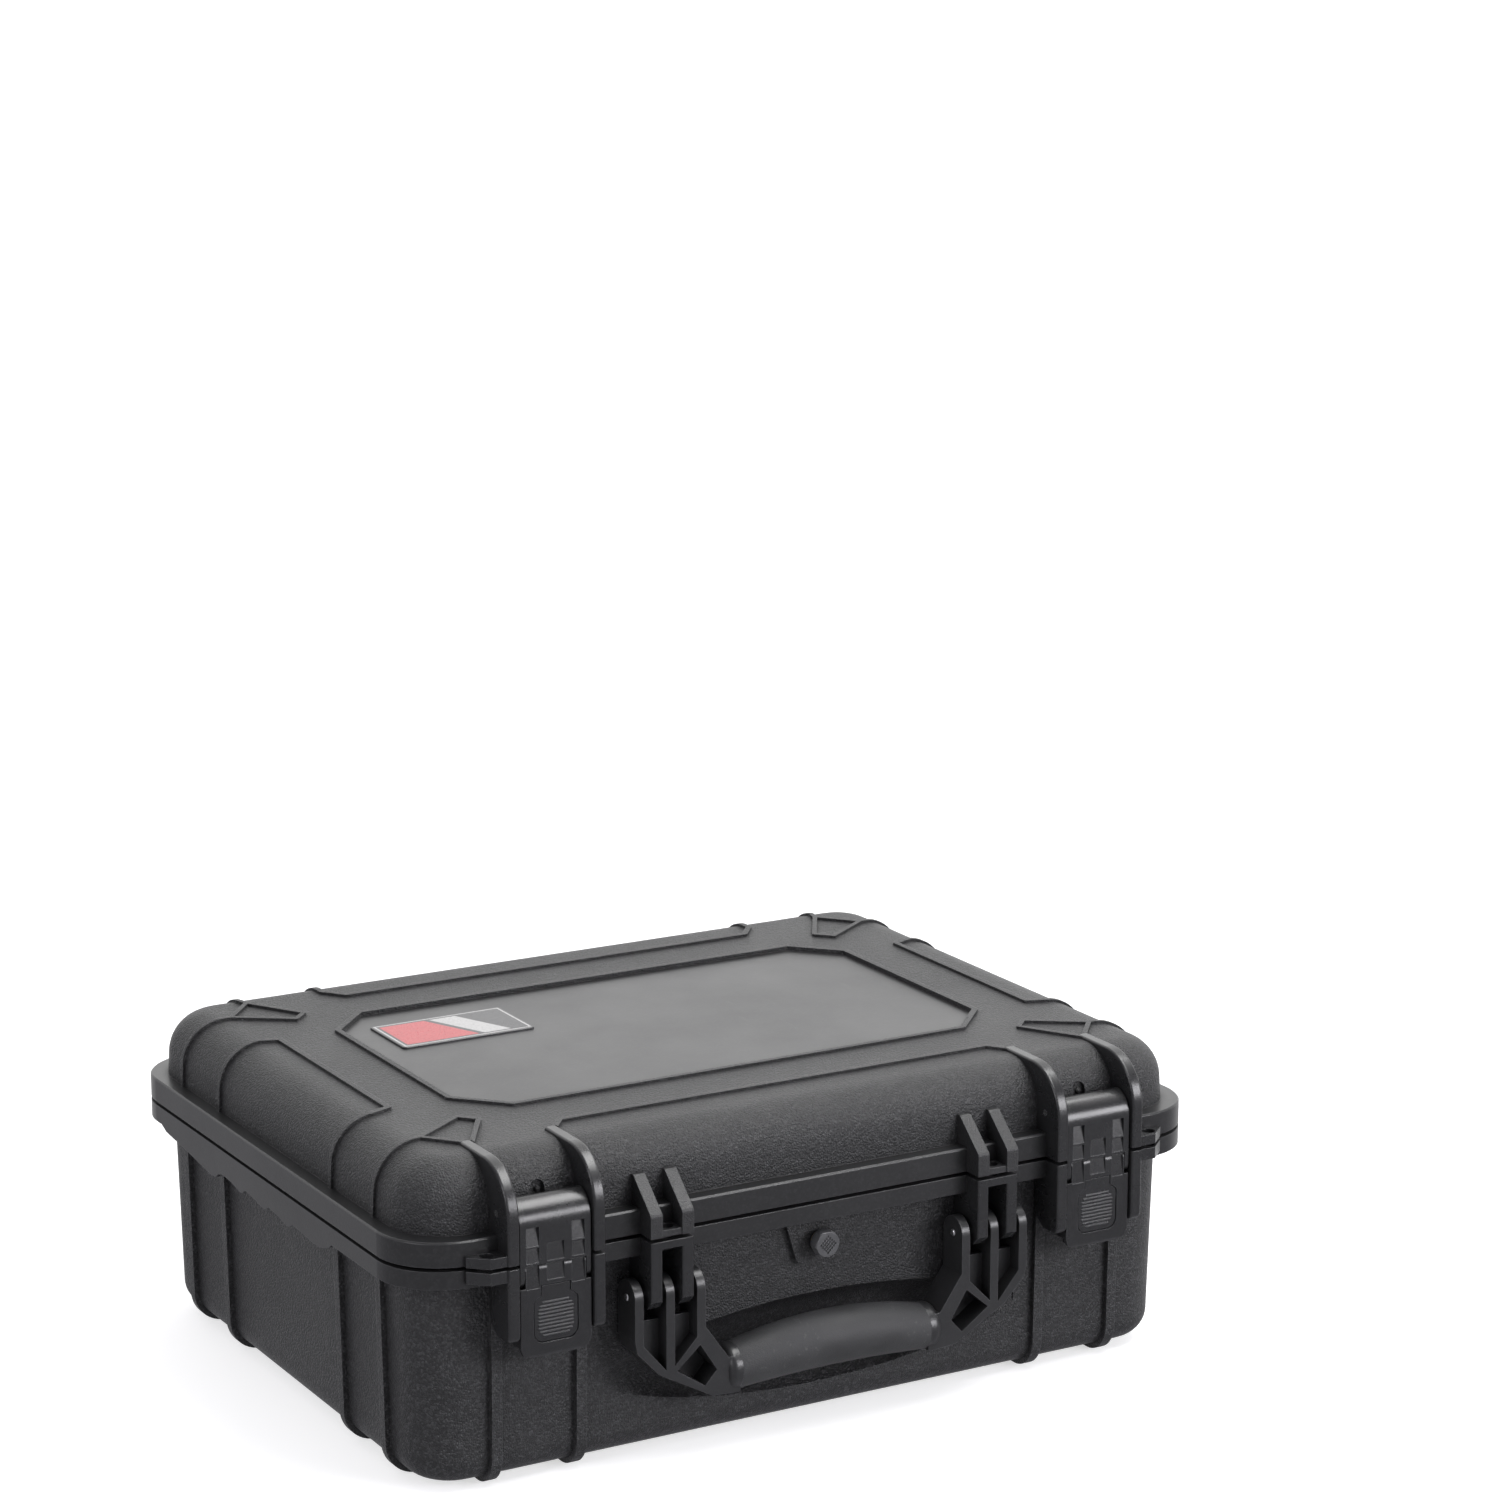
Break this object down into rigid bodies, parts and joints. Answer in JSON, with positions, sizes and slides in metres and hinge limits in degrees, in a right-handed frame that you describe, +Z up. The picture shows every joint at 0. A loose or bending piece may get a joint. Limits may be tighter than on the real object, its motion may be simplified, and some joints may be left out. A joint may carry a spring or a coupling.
{
  "type": "hard equipment case",
  "caption": "Lockable hard case with gasketed lid, front latches, folding carry handle, rear rod hinge, pressure valve, padlock lugs and foam lining.",
  "frame": {"origin": "on the ground under the middle of the closed case's outer box", "axes": "+X to the right seen from the front, +Y from the front to the rear hinge, +Z up; the case lies flat on its ribs"},
  "size_m": [0.468, 0.3826, 0.1717],
  "materials": {
    "shell": "satin",
    "latch": "satin",
    "tongue": "satin",
    "handle": "satin",
    "grip": "matte",
    "seal": "satin",
    "foam": "matte",
    "badge": "gloss",
    "valve": "satin",
    "valve_metal": "satin",
    "steel": "satin",
    "spring": "polished"
  },
  "bodies": {
    "base": {"base_shell": "shell", "base_latch_guards": "shell", "base_padlock_lugs": "shell", "handle_posts": "shell", "handle_pins": "steel", "base_hinge_knuckles": "shell", "hinge_rod": "steel", "hinge_collars": "latch", "valve_seal": "seal", "valve_body": "valve_metal", "valve_nut": "valve_metal", "base_foam_floor": "foam", "base_foam_block": "foam"},
    "lid": {"lid_shell": "shell", "lid_gasket": "seal", "lid_latch_guards": "shell", "lid_padlock_lugs": "shell", "lid_tabs": "shell", "lid_hinge_knuckles": "shell", "name_badge": "badge", "lid_foam": "foam", "latch_right_hinge_pin": "steel", "latch_left_hinge_pin": "steel"},
    "handle": {"handle_frame": "handle", "handle_grip": "grip"},
    "valve_cap": {"valve_cap": "valve"},
    "latch_right_link": {"latch_right_link": "latch", "latch_right_link_pin": "steel"},
    "latch_right_lever": {"latch_right_lever": "latch", "latch_right_release_pin": "steel", "latch_right_release_spring": "spring"},
    "latch_right_release": {"latch_right_release": "tongue"},
    "latch_left_link": {"latch_left_link": "latch", "latch_left_link_pin": "steel"},
    "latch_left_lever": {"latch_left_lever": "latch", "latch_left_release_pin": "steel", "latch_left_release_spring": "spring"},
    "latch_left_release": {"latch_left_release": "tongue"}
  },
  "joints": [
    {"name": "lid_hinge", "type": "hinge", "parent": "base", "child": "lid", "pos_m": [0, 0.18495, 0.12225], "axis": [-1, 0, 0], "range_deg": [0, 102]},
    {"name": "handle_swing", "type": "hinge", "parent": "base", "child": "handle", "pos_m": [0, -0.17705, 0.0915], "axis": [-1, 0, 0], "range_deg": [0, 95]},
    {"name": "valve_turn", "type": "hinge", "parent": "base", "child": "valve_cap", "pos_m": [0, -0.17725, 0.0986], "axis": [0, -1, 0], "range_deg": [0, 180]},
    {"name": "latch_right_swing", "type": "hinge", "parent": "lid", "child": "latch_right_link", "pos_m": [0.1591, -0.17585, 0.1467], "axis": [-1, 0, 0], "range_deg": [0, 110]},
    {"name": "latch_right_pull", "type": "hinge", "parent": "latch_right_link", "child": "latch_right_lever", "pos_m": [0.1591, -0.18265, 0.1179], "axis": [-1, 0, 0], "range_deg": [0, 70]},
    {"name": "latch_right_press", "type": "hinge", "parent": "latch_right_lever", "child": "latch_right_release", "pos_m": [0.1591, -0.18185, 0.1074], "axis": [1, 0, 0], "range_deg": [0, 8], "stiffness_Nm_per_rad": 0.15},
    {"name": "latch_left_swing", "type": "hinge", "parent": "lid", "child": "latch_left_link", "pos_m": [-0.1591, -0.17585, 0.1467], "axis": [-1, 0, 0], "range_deg": [0, 110]},
    {"name": "latch_left_pull", "type": "hinge", "parent": "latch_left_link", "child": "latch_left_lever", "pos_m": [-0.1591, -0.18265, 0.1179], "axis": [-1, 0, 0], "range_deg": [0, 70]},
    {"name": "latch_left_press", "type": "hinge", "parent": "latch_left_lever", "child": "latch_left_release", "pos_m": [-0.1591, -0.18185, 0.1074], "axis": [1, 0, 0], "range_deg": [0, 8], "stiffness_Nm_per_rad": 0.15}
  ]
}
